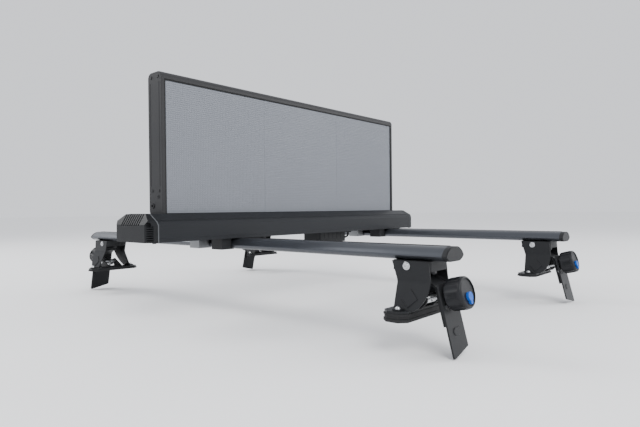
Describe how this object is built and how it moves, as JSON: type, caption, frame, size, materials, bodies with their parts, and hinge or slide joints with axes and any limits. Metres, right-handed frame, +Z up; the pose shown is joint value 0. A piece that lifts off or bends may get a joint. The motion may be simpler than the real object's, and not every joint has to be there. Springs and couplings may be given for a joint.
{
  "type": "roof bar LED sign",
  "caption": "Folding LED message panel on a long base housing, clamped across two aluminium roof cross bars with knob-tightened hook feet.",
  "frame": {"origin": "midway between the cross bars and between their ends, in the plane of the undersides of the three unpacked roof pads", "axes": "+X along the sign, +Y away from the side the screen faces and along the cross bars, +Z up"},
  "size_m": [1.109, 1.4156, 0.5974],
  "materials": {
    "bare_aluminium": "satin extruded",
    "black_plastic": "fine grain",
    "black_paint": "satin powder coat",
    "bright_zinc": "zinc plated",
    "black_anodised": "satin anodised",
    "black_zinc": "black plated",
    "black_rubber": "matt",
    "grey_rubber": "matt",
    "blue_plastic": "gloss",
    "panel_black": "satin",
    "led_face": "matt with lenses",
    "brass_plated": "plain",
    "green_board": "sheet steel box"
  },
  "bodies": {
    "rack_and_base": {"cross_bars": "black_anodised", "bar_end_caps": "black_plastic", "side_plates": "black_paint", "saddles": "black_plastic", "t_bolts": "black_zinc", "foot_screws": "bright_zinc", "base_plates": "black_paint", "roof_pads": "black_rubber", "dome_bolts": "bright_zinc", "trunnion_brackets": "black_paint", "pivot_pins": "bright_zinc", "base_housing": "black_anodised", "end_cap_left": "black_plastic", "end_cap_right": "black_plastic", "end_gaskets": "grey_rubber", "end_cap_screws": "bright_zinc", "hinge_lugs": "black_paint", "buffers": "black_rubber", "power_supply": "green_board", "controller": "green_board", "junction_box": "black_plastic", "box_lead": "black_rubber", "cable_glands": "black_plastic", "sign_clamps_front": "black_paint", "sign_clamps_rear": "bare_aluminium", "sign_clamp_bolts": "bright_zinc"},
    "panel": {"panel_frame": "panel_black", "panel_end_plates": "panel_black", "led_modules": "led_face", "back_cover": "panel_black", "panel_screws": "black_zinc", "hinge_pins": "black_zinc"},
    "clamp_left_front": {"clamp_strap_left_front": "black_paint", "hook_plate_left_front": "black_paint", "hook_rivets_left_front": "bright_zinc"},
    "hand_knob_left_front": {"knob_left_front": "black_plastic", "clamp_bolt_left_front": "bright_zinc"},
    "cover_left_front": {"lock_cover_left_front": "blue_plastic"},
    "nut_left_front": {"trunnion_nut_left_front": "brass_plated"},
    "clamp_left_rear": {"clamp_strap_left_rear": "black_paint", "hook_plate_left_rear": "black_paint", "hook_rivets_left_rear": "bright_zinc"},
    "hand_knob_left_rear": {"knob_left_rear": "black_plastic", "clamp_bolt_left_rear": "bright_zinc"},
    "cover_left_rear": {"lock_cover_left_rear": "blue_plastic"},
    "nut_left_rear": {"trunnion_nut_left_rear": "brass_plated"},
    "clamp_right_front": {"clamp_strap_right_front": "black_paint", "hook_plate_right_front": "black_paint", "hook_rivets_right_front": "bright_zinc"},
    "hand_knob_right_front": {"knob_right_front": "black_plastic", "clamp_bolt_right_front": "bright_zinc"},
    "cover_right_front": {"lock_cover_right_front": "blue_plastic"},
    "nut_right_front": {"trunnion_nut_right_front": "brass_plated"},
    "clamp_right_rear": {"clamp_strap_right_rear": "black_paint", "hook_plate_right_rear": "black_paint", "hook_rivets_right_rear": "bright_zinc"},
    "hand_knob_right_rear": {"knob_right_rear": "black_plastic", "clamp_bolt_right_rear": "bright_zinc"},
    "cover_right_rear": {"lock_cover_right_rear": "blue_plastic"},
    "nut_right_rear": {"trunnion_nut_right_rear": "brass_plated"}
  },
  "joints": [
    {"name": "panel_fold", "type": "hinge", "parent": "rack_and_base", "child": "panel", "pos_m": [-0.064, -0.0032, 0.209], "axis": [-1, 0, 0], "range_deg": [0, 90]},
    {"name": "clamp_swing_left_front", "type": "hinge", "parent": "rack_and_base", "child": "clamp_left_front", "pos_m": [-0.3455, -0.607, 0.072], "axis": [-1, 0, 0], "range_deg": [0, 8]},
    {"name": "nut_turn_left_front", "type": "hinge", "parent": "rack_and_base", "child": "nut_left_front", "pos_m": [-0.3455, -0.61873, 0.02496], "axis": [-1, 0, 0], "range_deg": [0, 8]},
    {"name": "knob_turn_left_front", "type": "hinge", "parent": "clamp_left_front", "child": "hand_knob_left_front", "pos_m": [-0.3455, -0.659, 0.035], "axis": [0, -0.9703, 0.2419], "continuous": true},
    {"name": "cover_swing_left_front", "type": "hinge", "parent": "hand_knob_left_front", "child": "cover_left_front", "pos_m": [-0.3455, -0.66336, 0.01753], "axis": [0, -0.9703, 0.2419], "range_deg": [-60, 60]},
    {"name": "clamp_swing_left_rear", "type": "hinge", "parent": "rack_and_base", "child": "clamp_left_rear", "pos_m": [-0.3455, 0.607, 0.072], "axis": [1, 0, 0], "range_deg": [0, 8]},
    {"name": "nut_turn_left_rear", "type": "hinge", "parent": "rack_and_base", "child": "nut_left_rear", "pos_m": [-0.3455, 0.61873, 0.02496], "axis": [1, 0, 0], "range_deg": [0, 8]},
    {"name": "knob_turn_left_rear", "type": "hinge", "parent": "clamp_left_rear", "child": "hand_knob_left_rear", "pos_m": [-0.3455, 0.659, 0.035], "axis": [0, 0.9703, 0.2419], "continuous": true},
    {"name": "cover_swing_left_rear", "type": "hinge", "parent": "hand_knob_left_rear", "child": "cover_left_rear", "pos_m": [-0.3455, 0.66336, 0.01753], "axis": [0, 0.9703, 0.2419], "range_deg": [-60, 60]},
    {"name": "clamp_swing_right_front", "type": "hinge", "parent": "rack_and_base", "child": "clamp_right_front", "pos_m": [0.3455, -0.607, 0.072], "axis": [-1, 0, 0], "range_deg": [0, 8]},
    {"name": "nut_turn_right_front", "type": "hinge", "parent": "rack_and_base", "child": "nut_right_front", "pos_m": [0.3455, -0.61873, 0.02496], "axis": [-1, 0, 0], "range_deg": [0, 8]},
    {"name": "knob_turn_right_front", "type": "hinge", "parent": "clamp_right_front", "child": "hand_knob_right_front", "pos_m": [0.3455, -0.659, 0.035], "axis": [0, -0.9703, 0.2419], "continuous": true},
    {"name": "cover_swing_right_front", "type": "hinge", "parent": "hand_knob_right_front", "child": "cover_right_front", "pos_m": [0.3455, -0.66336, 0.01753], "axis": [0, -0.9703, 0.2419], "range_deg": [-60, 60]},
    {"name": "clamp_swing_right_rear", "type": "hinge", "parent": "rack_and_base", "child": "clamp_right_rear", "pos_m": [0.3455, 0.607, 0.072], "axis": [1, 0, 0], "range_deg": [0, 8]},
    {"name": "nut_turn_right_rear", "type": "hinge", "parent": "rack_and_base", "child": "nut_right_rear", "pos_m": [0.3455, 0.61873, 0.02496], "axis": [1, 0, 0], "range_deg": [0, 8]},
    {"name": "knob_turn_right_rear", "type": "hinge", "parent": "clamp_right_rear", "child": "hand_knob_right_rear", "pos_m": [0.3455, 0.659, 0.035], "axis": [0, 0.9703, 0.2419], "continuous": true},
    {"name": "cover_swing_right_rear", "type": "hinge", "parent": "hand_knob_right_rear", "child": "cover_right_rear", "pos_m": [0.3455, 0.66336, 0.01753], "axis": [0, 0.9703, 0.2419], "range_deg": [-60, 60]}
  ],
  "couplings": [
    {"joint": "nut_turn_left_front", "follows": "clamp_swing_left_front", "ratio": 1},
    {"joint": "nut_turn_left_rear", "follows": "clamp_swing_left_rear", "ratio": 1},
    {"joint": "nut_turn_right_front", "follows": "clamp_swing_right_front", "ratio": 1},
    {"joint": "nut_turn_right_rear", "follows": "clamp_swing_right_rear", "ratio": 1}
  ]
}
